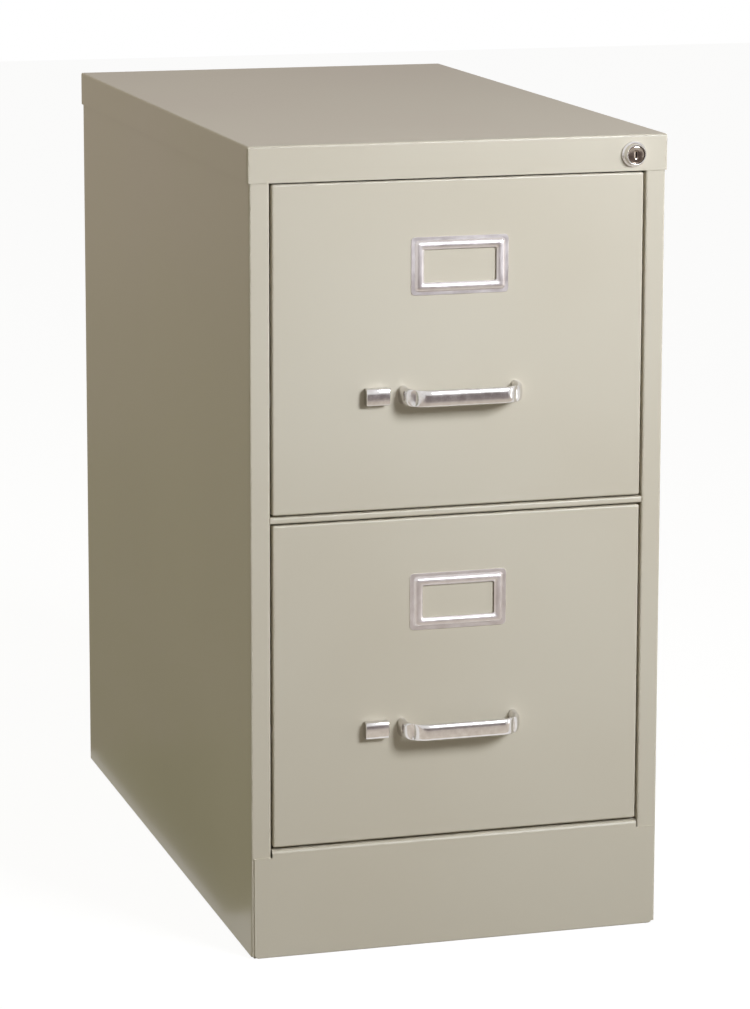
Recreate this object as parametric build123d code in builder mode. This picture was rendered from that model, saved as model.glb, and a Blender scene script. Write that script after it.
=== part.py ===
from build123d import *
from math import cos, radians, sin
import os

# Two-drawer vertical file for letter-size paper, in folded sheet steel. Millimetres, +Z up,
# fronts towards -Y, origin on the floor under the middle of the whole object.

# Overall size of the case, which is the size of its lid
lid_width = 381.0
lid_depth = 673.1
total_height = 720.7
lid_drop = 31.8

# Sheet thicknesses and bends
sheet = 0.8
plinth_sheet = 1.0
rail_sheet = 1.2
bend = 1.4
edge_fold = 1.8

# Front of the case: the stiles beside the drawers and the gaps round them
case_width = 378.0
stile_width = 18.0
stile_set_back = 1.0
stile_return = 12.0
side_floor_gap = 2.0
rear_overhang = 1.5
rear_flange = 15.0
plinth_height = 91.5
plinth_width = 372.6
plinth_lip_height = 98.0
plinth_corner_cut = 3.0
plinth_foot_reach = 16.0
plinth_lip_inset = 1.0
drawer_front_width = 337.8
drawer_front_height = 289.0
drawer_front_depth = 19.0
drawer_pitch = 298.0
upper_front_bottom = 398.4
middle_rail_height = 5.8
front_rail_depth = 20.0
front_rail_gap = 2.0
front_rail_headroom = 2.3

# Drawer bodies
shell_width = 313.0
shell_height = 255.0
shell_length = 612.0
shell_rise = 7.0
shell_hem = 8.0
hem_step = 2.0
hem_bend = 0.95
drawer_back_height = 150.0
inner_front_fold = 8.0
inner_front_fit = 0.2

# Ball-bearing slides: each member's web and lip are given as distances from the upright's face
slide_length = 600.0
cabinet_rail_length = 610.0
slide_thickness = 12.7
slide_rise = 95.0
cabinet_rail_lip = 10.8
cabinet_rail_half = 22.7
middle_rail_web = 3.0
middle_rail_lip = 10.8
middle_rail_half = 16.7
drawer_rail_lip = 6.2
drawer_rail_half = 11.3
cage_sheet = 0.8
cage_length = 260.0
balls_in_cage = 6
outer_ball = 4.2
outer_ball_height = 19.1
outer_cage_near = 3.4
outer_cage_far = 10.4
inner_ball = 3.6
inner_ball_height = 13.4
inner_cage_near = 6.4
inner_cage_far = 10.9
ball_clearance = 0.3
rail_screw_radius = 2.4
rail_screw_head_radius = 4.5
rail_screw_head = 1.4
rail_screw_length = 6.0
bumper_length = 7.5
bumper_half_height = 14.0

# Uprights that carry the slides
upright_width = 40.0
upright_gap = 4.0
upright_screw_share = 0.6
upright_lip = 12.0
upright_slots = 24
upright_slot_pitch = 25.0
upright_slot_length = 12.0
upright_slot_width = 4.0

# Bottom pan and glides
pan_height = 12.0
pan_flange = 18.0
glide_radius = 14.0
glide_pad = 6.0
glide_neck_radius = 6.0
glide_stud_radius = 4.0
glide_stud_top = 22.0
glide_inset = 45.0

# Pull
handle_reach = 29.0
handle_centre_drop = 187.6
handle_half_width = 51.5
handle_bend = 17.0
handle_foot_height = 16.4
handle_foot_thickness = 8.0
handle_bar_height = 14.6
handle_bar_thickness = 6.4
handle_screw_radius = 2.0
handle_screw_depth = 9.0
handle_screw_tip_gap = 1.0
handle_screw_head_radius = 4.0
handle_screw_head = 2.4

# Label holder
label_drop = 75.4
label_flange_width = 88.6
label_flange_height = 51.0
label_corner = 3.5
label_sheet = 0.8
label_frame_width = 81.6
label_frame_height = 44.6
label_rise = 3.2
label_window_width = 66.0
label_window_height = 29.0
label_bevel = 1.6

# Thumb latch, its bar and its spring
latch_x = -75.8
latch_width = 21.2
latch_height = 14.8
latch_reach = 9.0
latch_clearance = 0.4
latch_corner = 1.0
latch_round = 1.2
latch_travel = 7.0
latch_stem = 6.0
latch_slot_play = 1.0
latch_bar_height = 12.0
latch_bar_sheet = 2.0
latch_bar_depth = 9.0
latch_bolt_reach = 170.4
latch_lug_width = 2.0
spring_drop = 13.5
spring_radius = 2.6
spring_wire = 0.35
spring_pitch = 2.5
spring_fixed_x = -60.0
spring_free_x = -90.0

# Lock
lock_x = 158.9
lock_z = 703.7
bezel_radius = 11.35
bezel_reach = 7.5
bezel_lip_radius = 9.4
bezel_rim_reach = 2.0
bezel_shoulder_reach = 5.4
bezel_shoulder_radius = 10.65
bezel_mouth_round = 0.8
barrel_radius = 9.5
barrel_length = 18.0
plug_bore_radius = 7.85
plug_radius = 7.75
plug_recess = 1.0
plug_length = 26.0
plug_edge = 0.5
keyway_width = 1.7
keyway_height = 9.4
keyway_depth = 14.0
keyway_drop = 0.6
keyway_ward_drop = 2.2
lock_nut_width = 21.0
lock_nut_thickness = 4.0
thread_fit = 0.1
cam_thickness = 2.5
cam_hub_radius = 7.0
cam_throw = 7.0
cam_start_angle = -45.0
cam_pin_radius = 2.0
cam_pin_length = 4.5
lock_bar_sheet = 2.0
lock_bar_depth = 24.0
lock_bar_inner = 173.0
lock_bar_outer = 185.0
lock_bar_bottom = 285.0
lock_bar_head = 12.6
lock_bar_head_inner = 154.0
lock_tab_inner = 160.0
lock_tab_height = 10.0
lock_tab_below_catch = 10.5
catch_sheet = 1.5
catch_reach = 10.5
catch_height = 14.0
catch_length = 30.0
catch_drop = 42.0
catch_gap = 2.0
guide_sheet = 1.0
guide_height = 14.0
guide_bend = 1.0
guide_levels = (350.0, 470.0, 668.0)

# Planes worked out from the sizes above
front = handle_reach - stile_set_back - (lid_depth + handle_reach - stile_set_back) / 2
back = front + lid_depth
case_half = case_width / 2
case_inside = case_half - sheet
stile_inner = case_half - stile_width
face = front + stile_set_back
case_back = back - rear_overhang
inner_top = total_height - sheet
upright_face = shell_width / 2 + slide_thickness
inner_front_back = face + drawer_front_depth
slide_front = front + lock_bar_depth
upright_front = slide_front + upright_gap
upright_rear = slide_front + cabinet_rail_length + upright_gap
pan_top = pan_height + sheet
levels = {"upper": upper_front_bottom, "lower": upper_front_bottom - drawer_pitch}
sides = {"left": -1, "right": 1}
lock_lift = 2 * cam_throw * sin(radians(-cam_start_angle))
glide_places = [
    (side * (case_inside - glide_inset / 2 - glide_radius), y)
    for side in sides.values()
    for y in (front + glide_inset, case_back - glide_inset)
]
screw_inset = upright_width * upright_screw_share
screw_rows = (upright_front + screw_inset, upright_rear - upright_width + screw_inset)
lock_section = Plane(origin=(lock_x, 0, lock_z), x_dir=(0, 1, 0), z_dir=(1, 0, 0))
lock_axis = Axis((lock_x, 0, lock_z), (0, 1, 0))


def facing_front(y):
    """Plane at Y = y with X to the right, Z up and its normal towards the front."""
    return Plane.XZ.offset(-y)


def facing_right(x):
    """Plane at X = x with Y along, Z up and its normal towards +X."""
    return Plane.YZ.offset(x)


def folded(points, gauge=sheet, radius=bend):
    """Section of a folded sheet, drawn along the middle of its thickness."""
    with BuildLine() as route:
        FilletPolyline(*points, radius=radius)
    trace(route.line, line_width=gauge)


def write(piece, name):
    """Label a finished piece and write it as its own STEP file."""
    piece.part.label = name
    export_step(piece.part, f"parts/{name}.step")


# Case


def side_panel(side):
    """Side panel with the stile and its return folded at the front and a flange at the rear."""
    outer = side * (case_half - sheet / 2)
    inner = side * (stile_inner + sheet / 2)
    face_y = face + sheet / 2
    rear_y = case_back - sheet / 2
    section = [
        (inner, face + stile_return),
        (inner, face_y),
        (outer, face_y),
        (outer, rear_y),
        (side * (case_half - rear_flange), rear_y),
    ]
    with BuildPart() as panel:
        with BuildSketch(Plane.XY.offset(side_floor_gap)):
            folded(section)
        extrude(amount=inner_top - side_floor_gap - sheet)
    return panel


def back_panel():
    """Flat back that lies inside the rear flanges of the side panels."""
    with BuildPart() as panel:
        with BuildSketch(facing_front(case_back - sheet)):
            with Locations((0, (side_floor_gap + inner_top - sheet) / 2)):
                Rectangle(2 * (case_inside - bend), inner_top - sheet - side_floor_gap)
        extrude(amount=sheet)
    return panel


def top_cap():
    """Lid with a deep flange all round, a seam behind each front corner and the lock's hole."""
    seam_width = 0.5
    seam_set_back = 2.6
    with BuildPart() as lid:
        with BuildSketch(Plane.XY.offset(total_height - lid_drop)):
            with Locations((0, (front + back) / 2)):
                Rectangle(lid_width, lid_depth)
        extrude(amount=lid_drop)
        fillet(lid.edges().filter_by(Axis.Z), radius=edge_fold)
        fillet(lid.faces().sort_by(Axis.Z)[-1].edges(), radius=edge_fold)
        offset(amount=-sheet, openings=lid.faces().sort_by(Axis.Z)[0])
        with BuildSketch(Plane.XY.offset(total_height - lid_drop)):
            with Locations((0, front + seam_set_back)):
                Rectangle(lid_width, seam_width)
        extrude(amount=lid_drop - edge_fold - sheet, mode=Mode.SUBTRACT)
        with BuildSketch(facing_front(front + bend)):
            with Locations((lock_x, lock_z)):
                Circle(barrel_radius + sheet / 4)
        extrude(amount=2 * bend, mode=Mode.SUBTRACT)
    return lid


def bottom_pan():
    """Tray under the lower drawer, flanged at the front and rear, with holes for the glides."""
    front_y = face + stile_return + 2 * sheet
    rear_y = case_back - 2.5 * sheet
    level = pan_height + sheet / 2
    section = [
        (front_y, level + pan_flange),
        (front_y, level),
        (rear_y, level),
        (rear_y, level + pan_flange),
    ]
    with BuildPart() as pan:
        with BuildSketch(facing_right(bend - case_inside)):
            folded(section)
        extrude(amount=2 * (case_inside - bend))
        with Locations(*[(x, y, pan_top) for x, y in glide_places]):
            Hole(glide_stud_radius + sheet / 4, depth=2 * sheet)
    return pan


def base_glides():
    """Nylon glides: a wide pad on the floor, a neck and a stud through the pan."""
    with BuildPart() as glides:
        for x, y in glide_places:
            with BuildSketch(Plane.XY):
                with Locations((x, y)):
                    Circle(glide_radius)
            extrude(amount=glide_pad)
            with BuildSketch(Plane.XY.offset(glide_pad)):
                with Locations((x, y)):
                    Circle(glide_neck_radius)
            extrude(amount=pan_height - glide_pad)
            with BuildSketch(Plane.XY.offset(pan_height)):
                with Locations((x, y)):
                    Circle(glide_stud_radius)
            extrude(amount=glide_stud_top - pan_height)
        chamfer(glides.edges().group_by(Axis.Z)[0], length=plinth_sheet)
    return glides


def front_plinth():
    """Base plate in front of the stiles, with a rounded lip that rises between them."""
    plate_y = front + plinth_sheet / 2
    foot_z = plinth_sheet / 2
    lip_z = plinth_lip_height - plinth_sheet / 2
    lip_rear = front + stile_return
    lip_half = stile_inner - plinth_lip_inset
    foot = [(front + plinth_foot_reach, foot_z), (plate_y, foot_z), (plate_y, plinth_height)]
    lip = [
        (plate_y, plinth_height - plinth_lip_inset),
        (plate_y, lip_z),
        (lip_rear, lip_z),
        (lip_rear, lip_z - stile_return),
    ]
    with BuildPart() as plinth:
        with BuildSketch(facing_right(-plinth_width / 2)):
            folded(foot, gauge=plinth_sheet, radius=plinth_sheet)
        extrude(amount=plinth_width)
        with BuildSketch(facing_right(-lip_half)):
            folded(lip, gauge=plinth_sheet, radius=2 * bend)
        extrude(amount=2 * lip_half)
        with BuildSketch(facing_front(front + plinth_sheet)):
            for side in sides.values():
                corner = side * plinth_width / 2
                with BuildLine():
                    Polyline(
                        (corner, 0),
                        (corner - side * plinth_corner_cut, 0),
                        (corner, plinth_corner_cut),
                        close=True,
                    )
                make_face()
        extrude(amount=2 * plinth_sheet, both=True, mode=Mode.SUBTRACT)
    return plinth


def top_front_rail():
    """Channel behind the lid's front flange that ties the stiles and carries the lock."""
    lower_z = total_height - lid_drop + front_rail_gap
    upper_z = inner_top - front_rail_headroom
    face_y = face + sheet / 2
    section = [
        (face + front_rail_depth, lower_z),
        (face_y, lower_z),
        (face_y, upper_z),
        (face + front_rail_depth, upper_z),
    ]
    with BuildPart() as rail:
        with BuildSketch(facing_right(-stile_inner)):
            folded(section)
        extrude(amount=2 * stile_inner)
        with BuildSketch(facing_front(face + bend)):
            with Locations((lock_x, lock_z)):
                Circle(barrel_radius + sheet / 4)
        extrude(amount=2 * bend, mode=Mode.SUBTRACT)
    return rail


def middle_front_rail():
    """Narrow channel between the two drawers, open to the rear."""
    centre_z = upper_front_bottom - (drawer_pitch - drawer_front_height) / 2
    half = middle_rail_height / 2 - sheet / 2
    face_y = face + sheet / 2
    section = [
        (face + front_rail_depth, centre_z - half),
        (face_y, centre_z - half),
        (face_y, centre_z + half),
        (face + front_rail_depth, centre_z + half),
    ]
    with BuildPart() as rail:
        with BuildSketch(facing_right(-stile_inner)):
            folded(section)
        extrude(amount=2 * stile_inner)
    return rail


def upright(side, start, screw_y):
    """Lipped channel against the side panel, slotted like a rack, that carries the slides."""
    outer = side * (case_inside - sheet / 2)
    inner = side * (upright_face + sheet / 2)
    near = start + sheet / 2
    far = start + upright_width - sheet / 2
    section = [
        (outer, near + upright_lip),
        (outer, near),
        (inner, near),
        (inner, far),
        (outer, far),
        (outer, far - upright_lip),
    ]
    first_slot = pan_top + upright_slot_pitch
    slot_y = start + upright_width / 4
    with BuildPart() as post:
        with BuildSketch(Plane.XY.offset(pan_top)):
            folded(section)
        extrude(amount=inner_top - upright_slot_pitch - pan_top)
        with BuildSketch(facing_right(inner)):
            for step in range(upright_slots):
                with Locations((slot_y, first_slot + step * upright_slot_pitch)):
                    SlotOverall(upright_slot_length, upright_slot_width, rotation=90)
            for bottom in levels.values():
                with Locations((screw_y, bottom + slide_rise)):
                    Circle(rail_screw_radius + ball_clearance)
        extrude(amount=sheet, both=True, mode=Mode.SUBTRACT)
    return post


# Slides


def channel_section(side, level, web, lip, half):
    """Section of a slide member whose web stands 'web' from the upright's face."""
    web_x = side * (upright_face - web - rail_sheet / 2)
    lip_x = side * (upright_face - lip)
    half_z = half - rail_sheet / 2
    section = [
        (lip_x, level + half_z),
        (web_x, level + half_z),
        (web_x, level - half_z),
        (lip_x, level - half_z),
    ]
    folded(section, gauge=rail_sheet)


def cabinet_rail(side, level):
    """Fixed member of a slide, with a hole at each upright."""
    with BuildPart() as rail:
        with BuildSketch(facing_front(slide_front)):
            channel_section(side, level, 0, cabinet_rail_lip, cabinet_rail_half)
        extrude(amount=-cabinet_rail_length)
        with BuildSketch(facing_right(side * upright_face)):
            for y in screw_rows:
                with Locations((y, level)):
                    Circle(rail_screw_radius + ball_clearance)
        extrude(amount=2 * rail_sheet, both=True, mode=Mode.SUBTRACT)
    return rail


def middle_rail(side, level):
    """Intermediate member of a slide, which follows the drawer at half its travel."""
    with BuildPart() as rail:
        with BuildSketch(facing_front(slide_front)):
            channel_section(side, level, middle_rail_web, middle_rail_lip, middle_rail_half)
        extrude(amount=-slide_length)
    return rail


def drawer_rail(side, level):
    """Moving member of a slide, fixed to the side of the drawer."""
    with BuildPart() as rail:
        with BuildSketch(facing_front(slide_front)):
            channel_section(side, level, slide_thickness - rail_sheet, drawer_rail_lip, drawer_rail_half)
        extrude(amount=-slide_length)
    return rail


def cabinet_rail_screws():
    """Flat-headed screws that hold the fixed members to the uprights."""
    with BuildPart() as screws:
        for side in sides.values():
            inside = Plane(
                origin=(side * (upright_face - rail_sheet), 0, 0), x_dir=(0, 1, 0), z_dir=(side, 0, 0)
            )
            rows = [(y, side * (bottom + slide_rise)) for y in screw_rows for bottom in levels.values()]
            with BuildSketch(inside):
                with Locations(*rows):
                    Circle(rail_screw_radius)
            extrude(amount=rail_screw_length)
            with BuildSketch(inside):
                with Locations(*rows):
                    Circle(rail_screw_head_radius)
            extrude(amount=-rail_screw_head)
    return screws


def slide_bumpers():
    """Rubber stops at the rear ends of the fixed members."""
    near = upright_face - rail_sheet
    far = upright_face - cabinet_rail_lip
    rear = slide_front + cabinet_rail_length
    with BuildPart() as bumpers:
        for side in sides.values():
            for bottom in levels.values():
                with BuildSketch(facing_front(rear)):
                    with Locations((side * (near + far) / 2, bottom + slide_rise)):
                        RectangleRounded(near - far, 2 * bumper_half_height, edge_fold)
                extrude(amount=bumper_length)
    return bumpers


def ball_cages(level, ball, height, near, far):
    """Four cage strips with their balls, above and below the slide on each side."""
    centre_y = slide_front + slide_length / 2
    spacing = cage_length / balls_in_cage
    middle = (near + far) / 2
    with BuildPart() as cages:
        for side in sides.values():
            for half in (-1, 1):
                x = side * (upright_face - middle)
                z = level + half * height
                with BuildSketch(Plane.XY.offset(z)):
                    with Locations((x, centre_y)):
                        Rectangle(far - near, cage_length)
                        with GridLocations(1, spacing, 1, balls_in_cage):
                            Circle(ball / 2 + ball_clearance, mode=Mode.SUBTRACT)
                extrude(amount=cage_sheet / 2, both=True)
                with Locations((x, centre_y, z)):
                    with GridLocations(1, spacing, 1, balls_in_cage):
                        Sphere(ball / 2)
    return cages


# Drawers


def drawer_front(bottom):
    """Outer front: a pan with rounded folds, pierced for the pull, the latch and its bolt."""
    handle_z = bottom + drawer_front_height - handle_centre_drop
    with BuildPart() as pan:
        with BuildSketch(facing_front(inner_front_back)):
            with Locations((0, bottom + drawer_front_height / 2)):
                Rectangle(drawer_front_width, drawer_front_height)
        extrude(amount=drawer_front_depth)
        fillet(pan.edges().filter_by(Axis.Y), radius=edge_fold)
        fillet(pan.faces().sort_by(Axis.Y)[0].edges(), radius=edge_fold)
        offset(amount=-sheet, openings=pan.faces().sort_by(Axis.Y)[-1])
        with BuildSketch(facing_front(face + 2 * sheet)):
            with Locations((-handle_half_width, handle_z), (handle_half_width, handle_z)):
                Circle(handle_screw_radius + ball_clearance)
            with Locations((latch_x + latch_travel / 2, handle_z)):
                Rectangle(latch_stem + latch_travel + latch_slot_play, latch_stem + latch_slot_play)
        extrude(amount=4 * sheet, mode=Mode.SUBTRACT)
        with BuildSketch(facing_right(-drawer_front_width / 2)):
            with Locations((face + latch_bar_depth, handle_z)):
                Rectangle(latch_bar_sheet + latch_slot_play, latch_bar_height + latch_slot_play)
        extrude(amount=2 * sheet, both=True, mode=Mode.SUBTRACT)
    return pan


def inner_front(bottom):
    """Liner that closes the back of the outer front, with a lanced tab that holds the spring."""
    handle_z = bottom + drawer_front_height - handle_centre_drop
    fit = sheet + inner_front_fit
    tab_front = face + latch_bar_depth - spring_radius
    with BuildPart() as liner:
        with BuildSketch(facing_front(inner_front_back)):
            with Locations((0, bottom + drawer_front_height / 2)):
                Rectangle(drawer_front_width - 2 * fit, drawer_front_height - 2 * fit)
        extrude(amount=inner_front_fold)
        fillet(liner.edges().filter_by(Axis.Y), radius=bend)
        fillet(liner.faces().sort_by(Axis.Y)[-1].edges(), radius=bend)
        offset(amount=-sheet, openings=liner.faces().sort_by(Axis.Y)[0])
        with BuildSketch(facing_right(spring_fixed_x)):
            with Locations(((tab_front + inner_front_back - sheet / 2) / 2, handle_z - spring_drop)):
                Rectangle(inner_front_back - sheet / 2 - tab_front, latch_bar_height)
        extrude(amount=rail_sheet)
    return liner


def drawer_shell(bottom):
    """Drawer bottom and two high sides in one sheet, hemmed on top to carry hanging folders."""
    wall = shell_width / 2 - sheet / 2
    floor_z = bottom + shell_rise + sheet / 2
    top_z = bottom + shell_rise + shell_height - sheet / 2
    hem_x = wall + hem_step
    hem_z = top_z - shell_hem
    section = [
        (-hem_x, hem_z),
        (-hem_x, top_z),
        (-wall, top_z),
        (-wall, floor_z),
        (wall, floor_z),
        (wall, top_z),
        (hem_x, top_z),
        (hem_x, hem_z),
    ]
    with BuildPart() as shell:
        with BuildSketch(facing_front(inner_front_back)):
            folded(section, radius=[hem_bend, hem_bend, bend, bend, hem_bend, hem_bend])
        extrude(amount=-shell_length)
    return shell


def drawer_back(bottom):
    """Low back of the drawer, folded forwards along both sides."""
    wall = shell_width / 2 - 1.5 * sheet
    rear_y = inner_front_back + shell_length - sheet
    section = [
        (-wall, rear_y - rear_flange),
        (-wall, rear_y),
        (wall, rear_y),
        (wall, rear_y - rear_flange),
    ]
    with BuildPart() as panel:
        with BuildSketch(Plane.XY.offset(bottom + shell_rise + bend + sheet)):
            folded(section)
        extrude(amount=drawer_back_height)
    return panel


def handle(bottom):
    """Arched pull: feet a little taller than the bar, narrowing to it round the bends."""
    z = bottom + drawer_front_height - handle_centre_drop
    bar_y = face - handle_reach + handle_bar_thickness / 2
    bend_y = bar_y + handle_bend
    with BuildPart() as pull:
        with BuildLine() as route:
            arm = Line((-handle_half_width, face, z), (-handle_half_width, bend_y, z))
            turn = TangentArc(
                (-handle_half_width, bend_y, z),
                (handle_bend - handle_half_width, bar_y, z),
                tangent=(0, -1, 0),
            )
        with BuildSketch(Plane(origin=arm @ 0, x_dir=(1, 0, 0), z_dir=(0, -1, 0))):
            Ellipse(handle_foot_thickness / 2, handle_foot_height / 2)
        with BuildSketch(Plane(origin=arm @ 1, x_dir=(1, 0, 0), z_dir=(0, -1, 0))):
            Ellipse(handle_bar_thickness / 2, (handle_bar_height + handle_foot_height) / 4)
        with BuildSketch(Plane(origin=turn @ 0.5, x_dir=(1, 1, 0), z_dir=(1, -1, 0))):
            Ellipse(handle_bar_thickness / 2, handle_bar_height / 2)
        with BuildSketch(Plane(origin=turn @ 1, x_dir=(0, 1, 0), z_dir=(1, 0, 0))):
            Ellipse(handle_bar_thickness / 2, handle_bar_height / 2)
        sweep(path=route.wire(), multisection=True)
        with BuildSketch(Plane(origin=turn @ 1, x_dir=(0, 1, 0), z_dir=(1, 0, 0))):
            Ellipse(handle_bar_thickness / 2, handle_bar_height / 2)
        extrude(amount=handle_half_width - handle_bend)
        mirror(about=Plane.YZ)
        with BuildSketch(facing_front(face)):
            with Locations((-handle_half_width, z), (handle_half_width, z)):
                Circle(handle_screw_radius)
        extrude(amount=handle_screw_depth, mode=Mode.SUBTRACT)
    return pull


def handle_screws(bottom):
    """Two machine screws from inside the drawer front into the feet of the pull."""
    z = bottom + drawer_front_height - handle_centre_drop
    places = [(-handle_half_width, z), (handle_half_width, z)]
    with BuildPart() as screws:
        with BuildSketch(facing_front(face + sheet)):
            with Locations(*places):
                Circle(handle_screw_radius)
        extrude(amount=sheet + handle_screw_depth - handle_screw_tip_gap)
        with BuildSketch(facing_front(face + sheet)):
            with Locations(*places):
                Circle(handle_screw_head_radius)
        extrude(amount=-handle_screw_head)
    return screws


def label_holder(bottom):
    """Pressed card frame: a thin flange, a raised bevelled rim, a window and a card pocket."""
    z = bottom + drawer_front_height - label_drop
    pocket_width = label_frame_width - 2 * label_bevel
    pocket_height = label_frame_height - 2 * label_bevel
    with BuildPart() as holder:
        with BuildSketch(facing_front(face)):
            with Locations((0, z)):
                RectangleRounded(label_flange_width, label_flange_height, label_corner)
        extrude(amount=label_sheet)
        with BuildSketch(facing_front(face)):
            with Locations((0, z)):
                RectangleRounded(label_frame_width, label_frame_height, label_corner)
        extrude(amount=label_rise)
        chamfer(holder.faces().sort_by(Axis.Y)[0].edges(), length=label_bevel)
        with BuildSketch(facing_front(face)):
            with Locations((0, z)):
                RectangleRounded(pocket_width, pocket_height, label_bevel)
        extrude(amount=label_rise - label_bevel, mode=Mode.SUBTRACT)
        with BuildSketch(facing_front(face)):
            with Locations((0, z)):
                RectangleRounded(label_window_width, label_window_height, label_sheet)
        extrude(amount=label_rise, mode=Mode.SUBTRACT)
        rim = holder.faces().sort_by(Axis.Y)[0].inner_wires()[0].edges()
        chamfer(rim, length=label_bevel / 2)
    return holder


def lock_catch(bottom):
    """Hook on the right side of the drawer, above the gang bar's tab."""
    side_x = shell_width / 2
    low = bottom + shell_rise + shell_height - catch_drop
    hook_y = slide_front + lock_bar_sheet + catch_gap
    section = [
        (side_x + catch_sheet / 2, hook_y + catch_length),
        (side_x + catch_sheet / 2, hook_y),
        (side_x + catch_reach, hook_y),
    ]
    with BuildPart() as hook:
        with BuildSketch(Plane.XY.offset(low)):
            folded(section, gauge=catch_sheet, radius=bend)
        extrude(amount=catch_height)
    return hook


# Thumb latch


def thumb_latch(bottom):
    """Finger piece left of the pull, with a stem through the drawer front."""
    z = bottom + drawer_front_height - handle_centre_drop
    with BuildPart() as latch:
        with BuildSketch(facing_front(face - latch_clearance)):
            with Locations((latch_x, z)):
                RectangleRounded(latch_width, latch_height, latch_corner)
        extrude(amount=latch_reach - latch_clearance)
        fillet(latch.faces().sort_by(Axis.Y)[0].edges(), radius=latch_round)
        with BuildSketch(facing_front(face - latch_clearance)):
            with Locations((latch_x, z)):
                Rectangle(latch_stem, latch_stem)
        extrude(amount=-(latch_clearance + latch_bar_depth - latch_bar_sheet / 2))
    return latch


def latch_bar(bottom):
    """Bar behind the drawer front that carries the bolt to the left stile and seats the spring."""
    z = bottom + drawer_front_height - handle_centre_drop
    bar_end = latch_x + latch_width / 2
    with BuildPart() as bar:
        with BuildSketch(facing_front(face + latch_bar_depth + latch_bar_sheet / 2)):
            with Locations(((bar_end - latch_bolt_reach) / 2, z)):
                Rectangle(bar_end + latch_bolt_reach, latch_bar_height)
            with Locations((spring_free_x - latch_lug_width / 2, z - spring_drop / 2)):
                Rectangle(latch_lug_width, spring_drop + latch_bar_height)
        extrude(amount=latch_bar_sheet)
        fillet(bar.edges().filter_by(Axis.Y).sort_by(Axis.X)[:2], radius=edge_fold)
    return bar


def latch_spring(bottom):
    """Compression spring between the bar's lug and the liner's tab."""
    z = bottom + drawer_front_height - handle_centre_drop - spring_drop
    length = spring_fixed_x - spring_free_x - 2 * spring_wire
    seat = (spring_free_x + spring_wire, face + latch_bar_depth, z)
    with BuildPart() as spring:
        with BuildLine() as coil:
            Helix(spring_pitch, length, spring_radius, center=seat, direction=(1, 0, 0))
        with BuildSketch(Plane(origin=coil.wire() @ 0, z_dir=coil.wire() % 0)):
            Circle(spring_wire)
        sweep(path=coil.wire())
    return spring


# Lock


def lock_housing():
    """Bezel and threaded barrel of the lock, bored for the plug."""
    bezel_front = front - bezel_reach
    rim_y = front - bezel_rim_reach
    shoulder = (front - bezel_shoulder_reach, bezel_shoulder_radius)
    with BuildPart() as housing:
        with BuildSketch(lock_section):
            with BuildLine():
                Polyline((front, 0), (front, bezel_radius), (rim_y, bezel_radius))
                ThreePointArc((rim_y, bezel_radius), shoulder, (bezel_front, bezel_lip_radius))
                Polyline((bezel_front, bezel_lip_radius), (bezel_front, 0), (front, 0))
            make_face()
            with Locations((front + barrel_length / 2, barrel_radius / 2)):
                Rectangle(barrel_length, barrel_radius)
        revolve(axis=lock_axis)
        with Locations(Plane(origin=(lock_x, bezel_front, lock_z), z_dir=(0, -1, 0))):
            Hole(plug_bore_radius, depth=bezel_reach + barrel_length)
        mouth = housing.edges().filter_by(GeomType.CIRCLE).group_by(Axis.Y)[0].sort_by(SortBy.RADIUS)[0]
        fillet(mouth, radius=bezel_mouth_round)
    return housing


def lock_plug():
    """Turning plug with its keyway."""
    plug_front = front - bezel_reach + plug_recess
    with BuildPart() as plug:
        with BuildSketch(facing_front(plug_front + plug_length)):
            with Locations((lock_x, lock_z)):
                Circle(plug_radius)
        extrude(amount=plug_length)
        chamfer(plug.faces().sort_by(Axis.Y)[0].edges(), length=plug_edge)
        with BuildSketch(facing_front(plug_front + keyway_depth)):
            with Locations((lock_x, lock_z - keyway_drop)):
                Rectangle(keyway_width, keyway_height)
            with Locations((lock_x + keyway_width / 2, lock_z - keyway_ward_drop)):
                Rectangle(keyway_width, keyway_height / 4)
        extrude(amount=keyway_depth, mode=Mode.SUBTRACT)
    return plug


def lock_nut():
    """Hexagon nut that clamps the barrel behind the top rail."""
    with BuildPart() as nut:
        with BuildSketch(facing_front(face + sheet + lock_nut_thickness)):
            with Locations((lock_x, lock_z)):
                RegularPolygon(lock_nut_width / 2, 6, major_radius=False, rotation=30)
                Circle(barrel_radius + thread_fit, mode=Mode.SUBTRACT)
        extrude(amount=lock_nut_thickness)
    return nut


def lock_cam():
    """Crank on the end of the plug, whose pin lifts the gang bar."""
    cam_front = front - bezel_reach + plug_recess + plug_length
    pin_x = lock_x + cam_throw * cos(radians(cam_start_angle))
    pin_z = lock_z + cam_throw * sin(radians(cam_start_angle))
    with BuildPart() as cam:
        with BuildSketch(facing_front(cam_front + cam_thickness)):
            with Locations((lock_x, lock_z)):
                Circle(cam_hub_radius)
            with Locations((pin_x, pin_z)):
                Circle(2 * cam_pin_radius)
            make_hull()
        extrude(amount=cam_thickness)
        with BuildSketch(facing_front(cam_front + cam_thickness)):
            with Locations((pin_x, pin_z)):
                Circle(cam_pin_radius)
        extrude(amount=-cam_pin_length)
    return cam


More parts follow.
